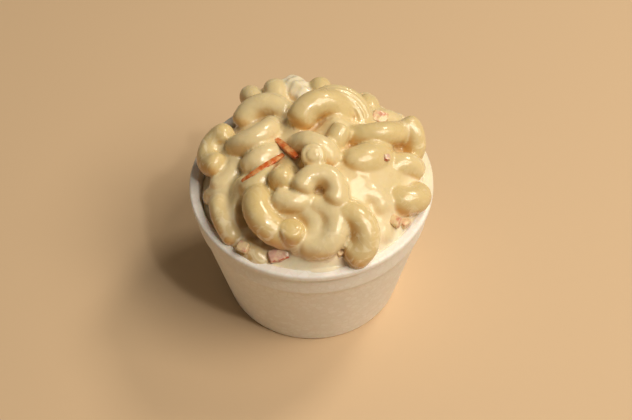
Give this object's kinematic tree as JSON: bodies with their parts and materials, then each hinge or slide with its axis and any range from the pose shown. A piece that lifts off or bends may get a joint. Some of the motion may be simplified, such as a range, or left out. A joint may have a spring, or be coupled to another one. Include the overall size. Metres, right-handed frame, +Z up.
{
  "type": "bowl of macaroni salad",
  "caption": "Squat tapered foam bowl heaped above its lip with elbow macaroni in a creamy dressing, with shreds of carrot and small diced pieces.",
  "frame": {"origin": "centre of the bowl's base, on the surface it stands on", "axes": "+Z up along the bowl's axis; the side that the picture shows faces -Y"},
  "size_m": [0.091, 0.091, 0.084],
  "materials": {
    "foam": "white moulded bead foam, soft sheen",
    "salad": "cooked macaroni in a glossy pale yellow dressing",
    "carrot": "raw carrot, wet, partly coated with dressing",
    "red_pepper": "diced red pepper, wet, partly coated with dressing",
    "ham": "diced pink ham, wet, coated with dressing"
  },
  "bodies": {
    "root": {"foam_bowl": "foam", "macaroni_heap": "salad", "carrot_shred_short": "carrot", "carrot_shred_long": "carrot", "diced_pepper_front": "red_pepper", "diced_pepper_small": "red_pepper", "diced_pepper_left": "red_pepper", "diced_ham_front": "ham", "diced_ham_right": "ham", "diced_ham_lip": "ham", "diced_ham_back": "ham"}
  },
  "joints": []
}
